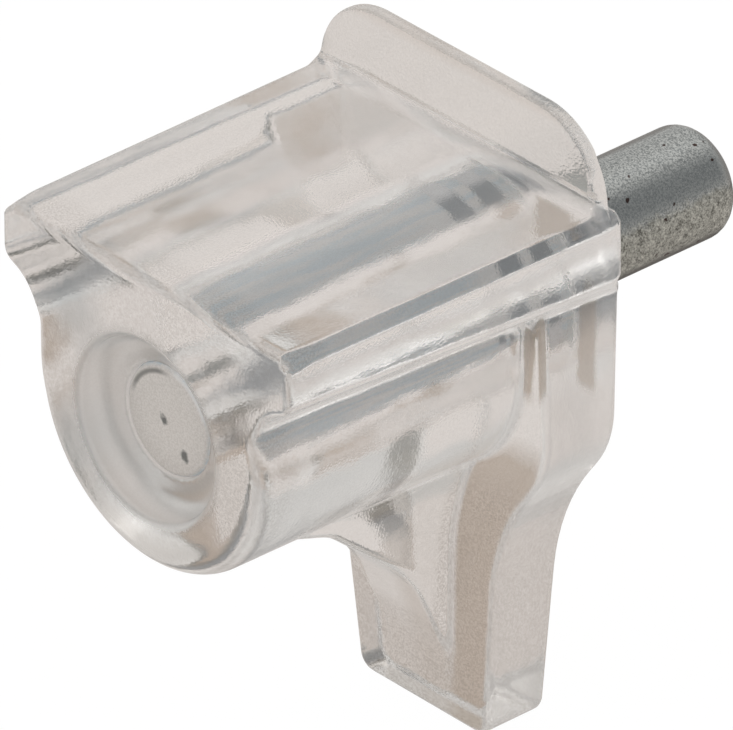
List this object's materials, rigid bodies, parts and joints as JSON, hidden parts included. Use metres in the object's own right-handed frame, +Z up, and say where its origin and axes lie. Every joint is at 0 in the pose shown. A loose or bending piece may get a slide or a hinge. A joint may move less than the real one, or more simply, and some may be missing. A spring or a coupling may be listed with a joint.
{
  "type": "shelf support pin",
  "caption": "Clear moulded shelf support with a flat bearing plate, an upright stop lip and a leg that bears on the panel, held in the panel's hole by a round steel pin.",
  "frame": {"origin": "on the pin's axis, in the plane where the support touches the panel", "axes": "+Y along the pin into the panel, +Z up through the shelf face, +X along the panel"},
  "size_m": [0.0178, 0.0304, 0.0299],
  "materials": {
    "clear_plastic": "clear, glossy",
    "zinc_steel": "zinc plated, mottled"
  },
  "bodies": {
    "root": {"body": "clear_plastic", "pin": "zinc_steel"}
  },
  "joints": []
}
